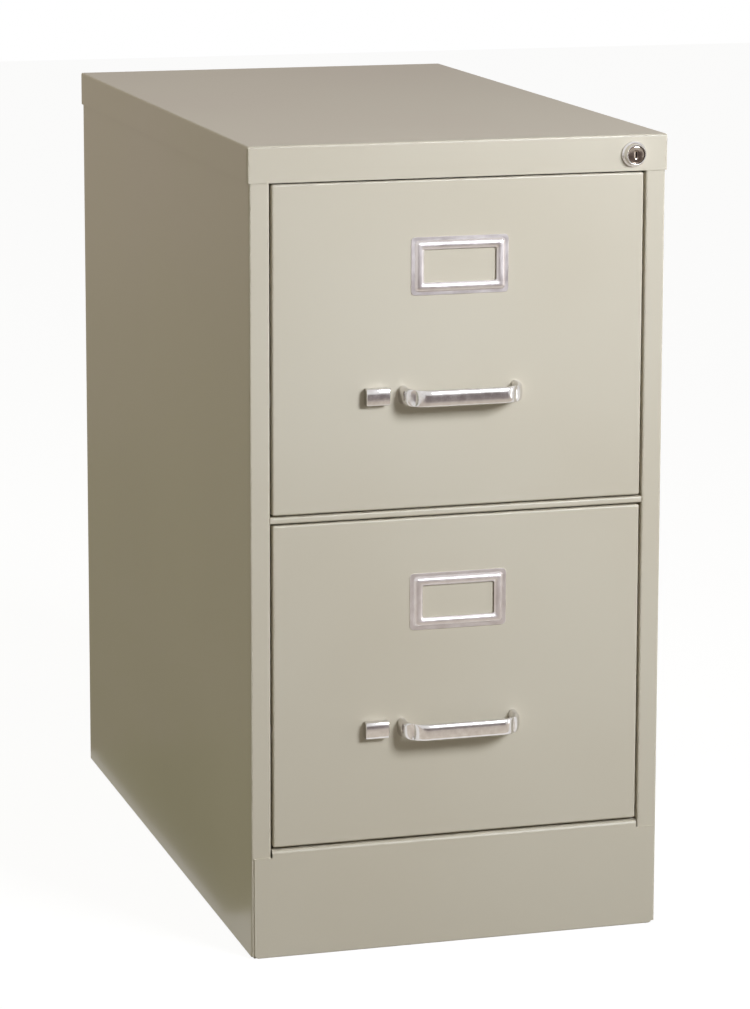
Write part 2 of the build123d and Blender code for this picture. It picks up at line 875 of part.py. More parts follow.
def lock_bar():
    """Gang bar: a flat plate with a slotted head at the cam and a tab below each drawer's catch."""
    pin_z = lock_z + cam_throw * sin(radians(cam_start_angle))
    pin_x = lock_x + cam_throw * cos(radians(cam_start_angle))
    pin_run = cam_throw - (pin_x - lock_x)
    play = 0.6
    head_bottom = pin_z - lock_bar_head / 2
    bar_centre = (lock_bar_inner + lock_bar_outer) / 2
    with BuildPart() as bar:
        with BuildSketch(facing_front(slide_front + lock_bar_sheet)):
            with Locations((bar_centre, (lock_bar_bottom + pin_z) / 2)):
                Rectangle(lock_bar_outer - lock_bar_inner, pin_z - lock_bar_bottom)
            with Locations(((lock_bar_head_inner + lock_bar_outer) / 2, head_bottom + lock_bar_head / 2)):
                Rectangle(lock_bar_outer - lock_bar_head_inner, lock_bar_head)
            for bottom in levels.values():
                catch_low = bottom + shell_rise + shell_height - catch_drop
                tab_top = catch_low - lock_tab_below_catch
                with Locations(((lock_tab_inner + bar_centre) / 2, tab_top - lock_tab_height / 2)):
                    Rectangle(bar_centre - lock_tab_inner, lock_tab_height)
            with Locations((pin_x + pin_run / 2, pin_z)):
                slot_length = pin_run + 2 * (cam_pin_radius + play)
                RectangleRounded(slot_length, 2 * (cam_pin_radius + play), 1, mode=Mode.SUBTRACT)
        extrude(amount=lock_bar_sheet)
        fillet(bar.edges().filter_by(Axis.Y).sort_by(Axis.Z)[:2], radius=edge_fold)
    return bar


def lock_bar_guides():
    """Straps on the right front upright that keep the gang bar upright."""
    clearance = 0.6
    strap_y = slide_front - clearance - guide_sheet / 2
    near = lock_bar_inner - clearance - guide_sheet / 2
    far = lock_bar_outer + clearance + guide_sheet / 2
    section = [(near, upright_front), (near, strap_y), (far, strap_y), (far, upright_front)]
    with BuildPart() as guides:
        for low in guide_levels:
            with BuildSketch(Plane.XY.offset(low)):
                folded(section, gauge=guide_sheet, radius=guide_bend)
            extrude(amount=guide_height)
    return guides


os.makedirs("parts", exist_ok=True)

for side_name, side in sides.items():
    write(side_panel(side), f"{side_name}_side_panel")
    write(upright(side, upright_front, screw_rows[0]), f"{side_name}_front_upright")
    write(upright(side, upright_rear - upright_width, screw_rows[1]), f"{side_name}_rear_upright")
write(back_panel(), "back_panel")
write(top_cap(), "top_cap")
write(bottom_pan(), "bottom_pan")
write(base_glides(), "base_glides")
write(front_plinth(), "front_plinth")
write(top_front_rail(), "top_front_rail")
write(middle_front_rail(), "middle_front_rail")
write(cabinet_rail_screws(), "cabinet_rail_screws")
write(slide_bumpers(), "slide_bumpers")
write(lock_housing(), "lock_housing")
write(lock_nut(), "lock_nut")
write(lock_plug(), "lock_plug")
write(lock_cam(), "lock_cam")
write(lock_bar(), "lock_bar")
write(lock_bar_guides(), "lock_bar_guides")

for level_name, bottom in levels.items():
    slide_z = bottom + slide_rise
    for side_name, side in sides.items():
        write(cabinet_rail(side, slide_z), f"{level_name}_{side_name}_cabinet_rail")
        write(middle_rail(side, slide_z), f"{level_name}_{side_name}_middle_rail")
        write(drawer_rail(side, slide_z), f"{level_name}_{side_name}_drawer_rail")
    outer_cages = ball_cages(slide_z, outer_ball, outer_ball_height, outer_cage_near, outer_cage_far)
    inner_cages = ball_cages(slide_z, inner_ball, inner_ball_height, inner_cage_near, inner_cage_far)
    write(outer_cages, f"{level_name}_outer_ball_cages")
    write(inner_cages, f"{level_name}_inner_ball_cages")
    write(drawer_front(bottom), f"{level_name}_drawer_front")
    write(inner_front(bottom), f"{level_name}_inner_front")
    write(drawer_shell(bottom), f"{level_name}_drawer_shell")
    write(drawer_back(bottom), f"{level_name}_drawer_back")
    write(handle(bottom), f"{level_name}_handle")
    write(handle_screws(bottom), f"{level_name}_handle_screws")
    write(label_holder(bottom), f"{level_name}_label_holder")
    write(lock_catch(bottom), f"{level_name}_lock_catch")
    write(thumb_latch(bottom), f"{level_name}_thumb_latch")
    write(latch_bar(bottom), f"{level_name}_latch_bar")
    write(latch_spring(bottom), f"{level_name}_latch_spring")

print("lock bar lift", round(lock_lift, 3), "drawer face at Y", round(face, 3))
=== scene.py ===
import math

import bmesh
import bpy
from mathutils import Matrix, Vector


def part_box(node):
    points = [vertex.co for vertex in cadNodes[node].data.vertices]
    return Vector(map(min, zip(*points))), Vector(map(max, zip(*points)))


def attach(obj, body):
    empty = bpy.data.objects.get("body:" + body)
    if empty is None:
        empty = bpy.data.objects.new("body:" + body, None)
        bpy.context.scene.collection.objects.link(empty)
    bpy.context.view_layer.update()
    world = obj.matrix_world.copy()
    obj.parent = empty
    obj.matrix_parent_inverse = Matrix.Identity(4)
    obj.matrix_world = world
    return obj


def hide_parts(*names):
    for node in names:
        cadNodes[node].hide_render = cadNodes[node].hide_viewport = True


# Two-drawer vertical file. Everything is in metres, fronts towards -Y, floor at Z = 0.

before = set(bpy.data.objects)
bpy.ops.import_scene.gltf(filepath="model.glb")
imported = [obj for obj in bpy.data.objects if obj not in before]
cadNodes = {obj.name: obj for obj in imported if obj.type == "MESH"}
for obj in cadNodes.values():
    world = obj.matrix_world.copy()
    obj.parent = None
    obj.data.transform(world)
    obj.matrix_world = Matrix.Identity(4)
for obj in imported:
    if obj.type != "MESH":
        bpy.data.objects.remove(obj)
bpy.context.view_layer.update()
levels = ("upper", "lower")
mm = 0.001
weldDistance = 0.001 * mm
tolerance = 0.01 * mm


# Helpers shared by the stage and the pieces

def linearColor(hexValue):
    channels = [int(hexValue[i:i + 2], 16) / 255 for i in (1, 3, 5)]
    return [c / 12.92 if c <= 0.04045 else ((c + 0.055) / 1.055) ** 2.4 for c in channels] + [1.0]


def grey(value):
    return (value, value, value, 1.0)


def addNode(tree, kind, props=None, inputs=None):
    node = tree.nodes.new(kind)
    for name, value in (props or {}).items():
        setattr(node, name, value)
    for name, value in (inputs or {}).items():
        socket = node.inputs[name]
        if isinstance(value, bpy.types.NodeSocket):
            tree.links.new(value, socket)
        else:
            socket.default_value = value
    return node


def newMaterial(name):
    material = bpy.data.materials.new(name)
    material.use_nodes = True
    material.node_tree.nodes.clear()
    return material, material.node_tree


def showShader(tree, shader):
    addNode(tree, "ShaderNodeOutputMaterial", inputs={"Surface": shader.outputs[0]})


def colorRamp(tree, fac, stops):
    ramp = addNode(tree, "ShaderNodeValToRGB", inputs={"Fac": fac})
    elements = ramp.color_ramp.elements
    for element, (position, color) in zip(elements, (stops[0], stops[-1])):
        element.position = position
        element.color = color
    for position, color in stops[1:-1]:
        elements.new(position).color = color
    return ramp.outputs["Color"]


def onlyKind(geom, kind):
    return [part for part in geom if isinstance(part, kind)]


def meshObject(bm, name, material):
    mesh = bpy.data.meshes.new(name)
    bm.to_mesh(mesh)
    bm.free()
    mesh.materials.append(material)
    obj = bpy.data.objects.new(name, mesh)
    bpy.context.scene.collection.objects.link(obj)
    return obj


def newPiece(bm, name, body, material, replaced, smoothAngle=35):
    bmesh.ops.recalc_face_normals(bm, faces=bm.faces)
    for edge in bm.edges:
        edge.smooth = edge.calc_face_angle(0) < math.radians(smoothAngle)
    for face in bm.faces:
        face.smooth = True
    piece = meshObject(bm, name, material)
    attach(piece, body)
    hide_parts(*replaced)


# Camera at the photograph's place: focal length in pixels of the photograph, angles in degrees

cameraSettings = {
    "focalPixels": 3824,
    "photoHeight": 1009,
    "sensor": 36.0,
    "location": (-1.0000, -3.4526, 1.0990),
    "yaw": 16.43,
    "pitch": 9.91,
    "roll": 0.118,
    "shiftY": -0.14,
}


def buildCamera(settings):
    data = bpy.data.cameras.new("photoCamera")
    data.sensor_width = settings["sensor"]
    data.lens = settings["focalPixels"] * settings["sensor"] / settings["photoHeight"]
    data.shift_y = settings["shiftY"]
    camera = bpy.data.objects.new("photoCamera", data)
    camera.matrix_world = (
        Matrix.Translation(settings["location"])
        @ Matrix.Rotation(math.radians(-settings["yaw"]), 4, "Z")
        @ Matrix.Rotation(math.radians(90 - settings["pitch"]), 4, "X")
        @ Matrix.Rotation(math.radians(settings["roll"]), 4, "Z")
    )
    bpy.context.scene.collection.objects.link(camera)
    bpy.context.scene.camera = camera


buildCamera(cameraSettings)
print("camera placed")


# Studio: a white room and sweep that only the camera and mirrors see as white, lit by three softboxes

studio = {
    "fillStrength": 0.230,
    "fillTint": "#fff8e5",
    "floorSize": 16.0,
    "floorGlow": 0.93,
    "floorShare": 0.16,
    "floorWhite": "#f2f1ef",
    "floorBounce": "#8f8a80",
}

# Drapes are glowing sheets seen by mirrors alone, so their colours are painted reflections: of a dim room
# where they stand up, and of the floor in the cabinet's shade where they lie beside it. Each runs along
# the floor away from the cabinet and stands up at its far end: the profile's points are (Y, Z), "from"
# and "to" are the X of its side edges, and "turn" then swings it about Z, in degrees. The stops give its
# painted reflection colour along Y.
drapes = {
    "frontDrape": {
        "profile": ((-0.5, 0.003), (-3.3, 0.003), (-3.3, 0.62)), "turn": 0, "from": -2.4, "to": 2.0,
        "stops": ((-0.5, "#e8dfd3"), (-1.45, "#d0c7be"), (-2.0, "#9b9290"), (-3.3, "#8d8484")),
    },
    "backDrape": {
        "profile": ((0.37, 0.003), (3.3, 0.003), (3.3, 2.2)), "turn": 0, "from": -3.3, "to": 3.3,
        "stops": ((0.37, "#c5b9bc"),),
    },
    "sideDrape": {
        "profile": ((0.20, 0.003), (3.3, 0.003), (3.3, 2.2)), "turn": 90, "from": -0.2, "to": 3.3,
        "stops": ((0.20, "#8c907d"),),
    },
}

softboxes = {
    "keySoftbox": {
        "location": (1.0, -2.15, 1.45), "target": (0.0, -0.3, 0.8), "size": (0.7, 0.6), "spread": 96,
        "watts": 16.2, "tint": "#eef4ff",
    },
    "leftSoftbox": {
        "location": (-2.6, 0.9, 1.9), "target": (-0.1, 0.0, 0.4), "size": (1.4, 1.4), "spread": 180,
        "watts": 16.0, "tint": "#fff8c6",
    },
    "rimSoftbox": {
        "location": (1.9, -1.1, 0.45), "target": (0.17, -0.3, 0.4), "size": (0.3, 1.3), "spread": 180,
        "watts": 5, "tint": "#ffffff",
    },
}


def seesBackground(tree):
    # 1 for rays from the camera, a mirror or glass, 0 for the rays that carry light
    rays = addNode(tree, "ShaderNodeLightPath").outputs
    first = addNode(
        tree, "ShaderNodeMath", {"operation": "ADD"},
        {0: rays["Is Camera Ray"], 1: rays["Is Glossy Ray"]},
    )
    total = addNode(
        tree, "ShaderNodeMath", {"operation": "ADD", "use_clamp": True},
        {0: first.outputs[0], 1: rays["Is Transmission Ray"]},
    )
    return total.outputs[0]


def seenOrLighting(tree, seen, lighting):
    return addNode(
        tree, "ShaderNodeMixShader",
        inputs={0: seesBackground(tree), 1: lighting.outputs[0], 2: seen.outputs[0]},
    )


def buildWorld(settings):
    world = bpy.data.worlds.new("whiteStudio")
    bpy.context.scene.world = world
    world.use_nodes = True
    tree = world.node_tree
    tree.nodes.clear()
    fill = addNode(
        tree, "ShaderNodeBackground",
        inputs={"Color": linearColor(settings["fillTint"]), "Strength": settings["fillStrength"]},
    )
    white = addNode(tree, "ShaderNodeBackground", inputs={"Color": grey(1.0), "Strength": 1.0})
    mixed = seenOrLighting(tree, white, fill)
    addNode(tree, "ShaderNodeOutputWorld", inputs={"Surface": mixed.outputs[0]})


def stageObject(bm, name, material):
    obj = meshObject(bm, name, material)
    return obj


def buildFloor(settings):
    # Glowing white paper with a small matt share that carries the shadow. It bounces a duller light.
    material, tree = newMaterial("paperSweep")
    glow = addNode(
        tree, "ShaderNodeEmission", inputs={"Color": grey(1.0), "Strength": settings["floorGlow"]},
    )
    share = [channel * settings["floorShare"] for channel in linearColor(settings["floorWhite"])[:3]]
    shaded = addNode(tree, "ShaderNodeBsdfDiffuse", inputs={"Color": share + [1.0]})
    seen = addNode(tree, "ShaderNodeAddShader", inputs={0: glow.outputs[0], 1: shaded.outputs[0]})
    bounce = addNode(
        tree, "ShaderNodeBsdfDiffuse", inputs={"Color": linearColor(settings["floorBounce"])},
    )
    showShader(tree, seenOrLighting(tree, seen, bounce))
    bm = bmesh.new()
    bmesh.ops.create_grid(bm, x_segments=1, y_segments=1, size=settings["floorSize"] / 2)
    stageObject(bm, "floor", material)


def paintedReflectionColor(tree, stops):
    near, far = stops[0][0], stops[-1][0]
    if near == far:
        return linearColor(stops[0][1])
    place = addNode(tree, "ShaderNodeTexCoord").outputs["Object"]
    apart = addNode(tree, "ShaderNodeSeparateXYZ", inputs={"Vector": place})
    along = addNode(
        tree, "ShaderNodeMapRange",
        inputs={"Value": apart.outputs["Y"], "From Min": near, "From Max": far},
    )
    shares = [((y - near) / (far - near), linearColor(color)) for y, color in stops]
    return colorRamp(tree, along.outputs["Result"], shares)


def buildDrape(name, settings):
    material, tree = newMaterial(name)
    color = paintedReflectionColor(tree, settings["stops"])
    # the drape glows with its painted reflection colour: a dim room standing up, shaded floor lying down
    showShader(tree, addNode(tree, "ShaderNodeEmission", inputs={"Color": color, "Strength": 1.0}))
    bm = bmesh.new()
    verts = [bm.verts.new((settings["from"], y, z)) for y, z in settings["profile"]]
    edges = [bm.edges.new(pair) for pair in zip(verts, verts[1:])]
    drawn = bmesh.ops.extrude_edge_only(bm, edges=edges)["geom"]
    far = onlyKind(drawn, bmesh.types.BMVert)
    bmesh.ops.translate(bm, verts=far, vec=(settings["to"] - settings["from"], 0, 0))
    turn = Matrix.Rotation(math.radians(settings["turn"]), 3, "Z")
    bmesh.ops.rotate(bm, verts=bm.verts[:], cent=(0, 0, 0), matrix=turn)
    drape = stageObject(bm, name, material)
    drape.visible_camera = False
    drape.visible_diffuse = False
    drape.visible_shadow = False
    drape.visible_transmission = False


def buildSoftbox(name, settings):
    data = bpy.data.lights.new(name, "AREA")
    data.shape = "RECTANGLE"
    data.size, data.size_y = settings["size"]
    data.spread = math.radians(settings["spread"])
    data.energy = settings["watts"]
    data.color = linearColor(settings["tint"])[:3]
    light = bpy.data.objects.new(name, data)
    light.visible_camera = False
    light.location = settings["location"]
    aim = Vector(settings["target"]) - Vector(settings["location"])
    light.rotation_euler = aim.to_track_quat("-Z", "Y").to_euler()
    bpy.context.scene.collection.objects.link(light)


buildWorld(studio)
buildFloor(studio)
for drapeName, drapeSettings in drapes.items():
    buildDrape(drapeName, drapeSettings)
for softboxName, softboxSettings in softboxes.items():
    buildSoftbox(softboxName, softboxSettings)
bpy.context.scene.view_settings.view_transform = "Standard"
print("studio built")


# Materials: spacings and depths are in mm. A noise mask, spread over maskSpan, runs from the first
# roughness and "colorDeep" to the second roughness and "color".

maskSpan = (0.3, 0.7)

enamel = {
    "color": "#cdc5b2",
    "colorDeep": "#cac1ad",
    "colorSpan": (0.35, 0.65),
    "roughness": (0.34, 0.40),
    "blotch": 260,
    "peelSpacing": 3.2,
    "peelDepth": 0.012,
}

metals = {
    # Decorative chrome over polished steel: bright, slightly wavy, with fine polishing haze.
    "chromePlate": {
        "color": "#dedbd9", "colorDeep": "#cfcbc9", "roughness": (0.11, 0.19), "blotch": 6,
        "grain": (9.0, 0.9, 0.9), "grainDepth": 0.004,
    },
    # Satin chrome on the pressed card frames: the plate over an unpolished sheet, so reflections blur.
    "satinChrome": {
        "color": "#dcd6d5", "colorDeep": "#d2cbca", "roughness": (0.28, 0.36), "blotch": 8,
        "grain": (6.0, 0.9, 0.9), "grainDepth": 0.004,
    },
    # The lock plug's nickel: darker and warmer than chrome, turned face.
    "nickelPlate": {
        "color": "#a89c90", "colorDeep": "#8f8377", "roughness": (0.08, 0.16), "blotch": 4,
        "grain": (1.2, 1.2, 1.2), "grainDepth": 0.004,
    },
    # Zinc-plated steel with a clear passivate: pale grey, rolled, slightly cloudy.
    "zincPlatedSteel": {
        "color": "#c3c5c6", "colorDeep": "#aeb1b4", "roughness": (0.30, 0.44), "blotch": 14,
        "grain": (2.0, 24.0, 1.0), "grainDepth": 0.006,
    },
    # Oiled spring wire: dark, smooth drawn steel.
    "springSteel": {
        "color": "#8b8a88", "colorDeep": "#777572", "roughness": (0.24, 0.34), "blotch": 3,
        "grain": (1.0, 1.0, 1.0), "grainDepth": 0.003,
    },
}

moulded = {
    # Bumper rubber: matt black, slightly dusty.
    "blackRubber": {
        "color": "#1d1c1b", "colorDeep": "#141413", "roughness": (0.70, 0.85), "grain": 1.5,
        "grainDepth": 0.02,
    },
    # Nylon glides: satin black with a fine moulded grain.
    "blackNylon": {
        "color": "#232323", "colorDeep": "#1a1a1a", "roughness": (0.42, 0.55), "grain": 0.8,
        "grainDepth": 0.02,
    },
}


def perMm(spacing):
    return 1000 / spacing  # noise scale on metre coordinates for features this many mm apart


def noise(tree, place, scale, detail):
    inputs = {"Vector": place, "Scale": scale, "Detail": detail}
    return addNode(tree, "ShaderNodeTexNoise", inputs=inputs).outputs["Fac"]


def maskedSurface(tree, settings, mask, relief, depth, metallic=0.0):
    low, high = settings.get("colorSpan", maskSpan)
    color = colorRamp(
        tree, mask, [(low, linearColor(settings["colorDeep"])), (high, linearColor(settings["color"]))],
    )
    low, high = maskSpan
    smooth, rough = settings["roughness"]
    roughness = colorRamp(tree, mask, [(low, grey(smooth)), (high, grey(rough))])
    bump = addNode(
        tree, "ShaderNodeBump", inputs={"Height": relief, "Strength": 1.0, "Distance": depth * mm},
    )
    shader = addNode(
        tree, "ShaderNodeBsdfPrincipled",
        inputs={
            "Base Color": color, "Roughness": roughness, "Normal": bump.outputs["Normal"],
            "Metallic": metallic,
        },
    )
    showShader(tree, shader)


def puttyEnamel(name, settings):
    # Stoved semi-gloss enamel on sheet steel: even putty colour, blurred reflections, faint orange peel.
    material, tree = newMaterial(name)
    place = addNode(tree, "ShaderNodeTexCoord").outputs["Object"]
    broad = noise(tree, place, perMm(settings["blotch"]), 2.0)
    peel = noise(tree, place, perMm(settings["peelSpacing"]), 1.0)
    maskedSurface(tree, settings, broad, peel, settings["peelDepth"])
    return material


def platedMetal(name, settings):
    material, tree = newMaterial(name)
    place = addNode(tree, "ShaderNodeTexCoord").outputs["Object"]
    cloud = noise(tree, place, perMm(settings["blotch"]), 3.0)
    stretched = addNode(
        tree, "ShaderNodeMapping",
        inputs={"Vector": place, "Scale": [perMm(spacing) for spacing in settings["grain"]]},
    )
    grain = noise(tree, stretched.outputs["Vector"], 1.0, 2.0)
    maskedSurface(tree, settings, cloud, grain, settings["grainDepth"], metallic=1.0)
    return material


def mouldedPlastic(name, settings):
    material, tree = newMaterial(name)
    place = addNode(tree, "ShaderNodeTexCoord").outputs["Object"]
    grain = noise(tree, place, perMm(settings["grain"]), 2.0)
    maskedSurface(tree, settings, grain, grain, settings["grainDepth"])
    return material


materials = {"puttyEnamel": puttyEnamel("puttyEnamel", enamel)}
for metalName, metalSettings in metals.items():
    materials[metalName] = platedMetal(metalName, metalSettings)
for plasticName, plasticSettings in moulded.items():
    materials[plasticName] = mouldedPlastic(plasticName, plasticSettings)

slotMaterials = {
    "putty_paint": "puttyEnamel",
    "chrome": "chromePlate",
    "zinc_steel": "zincPlatedSteel",
    "spring_steel": "springSteel",
    "rubber": "blackRubber",
    "nylon": "blackNylon",
}
for cadNode in cadNodes.values():
    for slotIndex, slotted in enumerate(cadNode.material_slots):
        slotName = slotted.material.name.split(".")[0]
        cadNode.material_slots[slotIndex].material = materials[slotMaterials[slotName]]
print("materials assigned to", len(cadNodes), "nodes")


# Shapes that several pieces start from

def roundedLoop(bm, center, contour, steps):
    # rectangle facing the front, its corners rounded by a vertex bevel, left as a bare loop of edges
    width, height, corner, y = contour
    before = set(bm.faces)
    made = bmesh.ops.create_grid(bm, x_segments=1, y_segments=1, size=0.5)["verts"]
    bmesh.ops.rotate(bm, verts=made, cent=(0, 0, 0), matrix=Matrix.Rotation(math.radians(90), 3, "X"))
    bmesh.ops.scale(bm, verts=made, vec=(width, 1.0, height))
    bmesh.ops.translate(bm, verts=made, vec=(center.x, y, center.z))
    bmesh.ops.bevel(
        bm, geom=made, offset=corner, segments=steps, profile=0.5, affect="VERTICES", material=-1,
    )
    face = (set(bm.faces) - before).pop()
    loop = list(face.edges)
    bmesh.ops.delete(bm, geom=[face], context="FACES_ONLY")
    return loop


def loopStack(bm, center, contours, steps):
    # skin through rounded contours, each (width, height, corner, y); gives its first and last loops
    first = roundedLoop(bm, center, contours[0], steps)
    loop = first
    for old, new in zip(contours, contours[1:]):
        grown = bmesh.ops.extrude_edge_only(bm, edges=loop)["geom"]
        loop = onlyKind(grown, bmesh.types.BMEdge)
        oldCorner, newCorner, newY = old[2], new[2], new[3]
        for vert in onlyKind(grown, bmesh.types.BMVert):
            for axis, span in ((0, 0), (2, 1)):  # X goes with the width, Z with the height
                side = math.copysign(1, vert.co[axis] - center[axis])
                away = vert.co[axis] - center[axis] - side * (old[span] / 2 - oldCorner)
                reach = side * (new[span] / 2 - newCorner) + away * newCorner / oldCorner
                vert.co[axis] = center[axis] + reach
            vert.co.y = newY
    return first, loop


def sweepRing(bm, ring, places):
    # carries a ring of edges through a list of placing matrices
    for before, after in zip(places, places[1:]):
        grown = bmesh.ops.extrude_edge_only(bm, edges=ring)["geom"]
        ring = onlyKind(grown, bmesh.types.BMEdge)
        verts = onlyKind(grown, bmesh.types.BMVert)
        bmesh.ops.transform(bm, matrix=after @ before.inverted(), verts=verts)


def ringPlace(x, y, z, turn, thickness, height):
    # places a unit ring: turn 0 faces the front, 90 degrees faces along X
    return (
        Matrix.Translation((x, y, z))
        @ Matrix.Rotation(turn, 4, "Z")
        @ Matrix.Diagonal((thickness / 2, 1.0, height / 2, 1.0))
    )


def easeBetween(start, end, share):
    return start + (end - start) * (3 * share * share - 2 * share * share * share)


# Arched pull: plated casting, its feet a little taller and thicker than the bar, narrowing to it
# round the bends. "narrowedAt" is how much of the bend that takes, and "thinning" how much faster
# the thickness gets there than the height.

pull = {
    "halfWidth": 51.5 * mm,
    "reach": 29.0 * mm,
    "bendRadius": 17.0 * mm,
    "footHeight": 16.4 * mm,
    "footThickness": 8.4 * mm,
    "barHeight": 14.6 * mm,
    "barThickness": 6.4 * mm,
    "narrowedAt": 0.6,
    "thinning": 1.6,
    "squareness": 2.8,
    "sides": 40,
    "armSteps": 8,
    "bendSteps": 14,
    "barSteps": 6,
}


def buildPull(level, settings):
    lo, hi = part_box(f"{level}_handle")
    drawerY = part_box(f"{level}_drawer_front")[0].y
    middleZ = (lo.z + hi.z) / 2
    half, bend = settings["halfWidth"], settings["bendRadius"]
    barY = drawerY - settings["reach"] + settings["barThickness"] / 2
    bendY = barY + bend
    places = []
    runs = settings["armSteps"] + settings["bendSteps"]
    narrowed = settings["armSteps"] + settings["narrowedAt"] * settings["bendSteps"]

    def sized(step):
        share = min(1.0, step / narrowed)
        thinShare = min(1.0, settings["thinning"] * share)
        return (
            easeBetween(settings["footThickness"], settings["barThickness"], thinShare),
            easeBetween(settings["footHeight"], settings["barHeight"], share),
        )

    for step in range(settings["armSteps"]):
        y = drawerY + (bendY - drawerY) * step / settings["armSteps"]
        places.append(ringPlace(-half, y, middleZ, 0.0, *sized(step)))
    for step in range(settings["bendSteps"] + 1):
        turn = math.radians(90) * step / settings["bendSteps"]
        x = -half + bend * (1 - math.cos(turn))
        y = bendY - bend * math.sin(turn)
        places.append(ringPlace(x, y, middleZ, -turn, *sized(settings["armSteps"] + step)))
    for step in range(1, settings["barSteps"] + 1):
        x = (-half + bend) * (1 - step / settings["barSteps"])
        places.append(ringPlace(x, barY, middleZ, math.radians(-90), *sized(runs)))

    bm = bmesh.new()
    ring = bmesh.ops.create_circle(bm, segments=settings["sides"], radius=1.0)["verts"]
    for vert in ring:
        for axis in (0, 1):
            out = abs(vert.co[axis]) ** (2 / settings["squareness"])
            vert.co[axis] = math.copysign(out, vert.co[axis])
    bmesh.ops.rotate(bm, verts=ring, cent=(0, 0, 0), matrix=Matrix.Rotation(math.radians(90), 3, "X"))
    bmesh.ops.transform(bm, matrix=places[0], verts=ring)
    foot = bm.edges[:]
    sweepRing(bm, foot, places)
    bmesh.ops.edgeloop_fill(bm, edges=foot)
    leftHalf = bm.verts[:] + bm.edges[:] + bm.faces[:]
    bmesh.ops.mirror(bm, geom=leftHalf, axis="X", merge_dist=tolerance)
    newPiece(
        bm, f"{level}_pull", f"{level}_drawer", materials["chromePlate"], [f"{level}_handle"],
    )


# Card frame: pressed steel with a thin flange, a raised rim bevelled on both sides and a card slot.
# Flange, rim, face and window are (width, height, corner).

cardFrame = {
    "flange": (88.6 * mm, 51.0 * mm, 3.6 * mm),
    "flangeThickness": 0.8 * mm,
    "rim": (81.6 * mm, 44.6 * mm, 3.2 * mm),
    "rimFoot": 0.8 * mm,
    "rimFront": (77.8 * mm, 40.8 * mm, 1.9 * mm),
    "rimRise": 3.2 * mm,
    "faceInner": (69.6 * mm, 32.6 * mm, 2.2 * mm),
    "window": (66.0 * mm, 29.0 * mm, 1.5 * mm),
    "windowDepth": 1.5 * mm,
    "slotWidth": 1.3 * mm,
    "cornerSteps": 8,
    "leastCorner": 0.3 * mm,
    "softEdge": 0.28 * mm,
}


def buildCardFrame(level, settings):
    lo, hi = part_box(f"{level}_label_holder")
    center = (lo + hi) / 2
    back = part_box(f"{level}_drawer_front")[0].y
    soft = settings["softEdge"]

    def grown(name, amount, y):
        width, height, corner = settings[name]
        rounded = max(corner + amount, settings["leastCorner"])
        return (width + 2 * amount, height + 2 * amount, rounded, y)

    flangeY = back - settings["flangeThickness"]
    frontY = back - settings["rimRise"]
    lipY = frontY + settings["windowDepth"]
    slotY = lipY + settings["flangeThickness"]
    contours = [
        grown("flange", 0.0, back),
        grown("flange", 0.0, flangeY + soft),
        grown("flange", -soft, flangeY),
        grown("rim", soft, flangeY),
        grown("rim", 0.0, flangeY - soft),
        grown("rim", -soft, flangeY - settings["rimFoot"]),
        grown("rimFront", soft, frontY + soft),
        grown("rimFront", -soft, frontY),
        grown("faceInner", soft, frontY),
        grown("faceInner", -soft, frontY + soft),
        grown("window", soft, lipY - soft),
        grown("window", 0.0, lipY),
        grown("window", 0.0, slotY),
        grown("window", settings["slotWidth"], slotY),
        grown("window", settings["slotWidth"], back),
        grown("flange", 0.0, back),
    ]
    bm = bmesh.new()
    loopStack(bm, center, contours, settings["cornerSteps"])
    bmesh.ops.remove_doubles(bm, verts=bm.verts[:], dist=weldDistance)
    newPiece(
        bm, f"{level}_card_frame", f"{level}_drawer", materials["satinChrome"],
        [f"{level}_label_holder"],
    )


# Thumb latch: plated cap, its front bowed from top to bottom, on a square stem. The bow is "roll"
# high and "rollDepth" deep at each end, and edges sharper than "rimAngle" are rounded off.

thumbCap = {
    "width": 21.2 * mm,
    "height": 14.8 * mm,
    "reach": 9.0 * mm,
    "clearance": 0.4 * mm,
    "roll": 7.0 * mm,
    "rollDepth": 1.8 * mm,
    "rollSteps": 8,
    "rimAngle": 50,
    "edge": 0.7 * mm,
    "edgeSteps": 3,
    "stem": 6.0 * mm,
    "stemDepth": 8.0 * mm,
    "smoothAngle": 40,
}


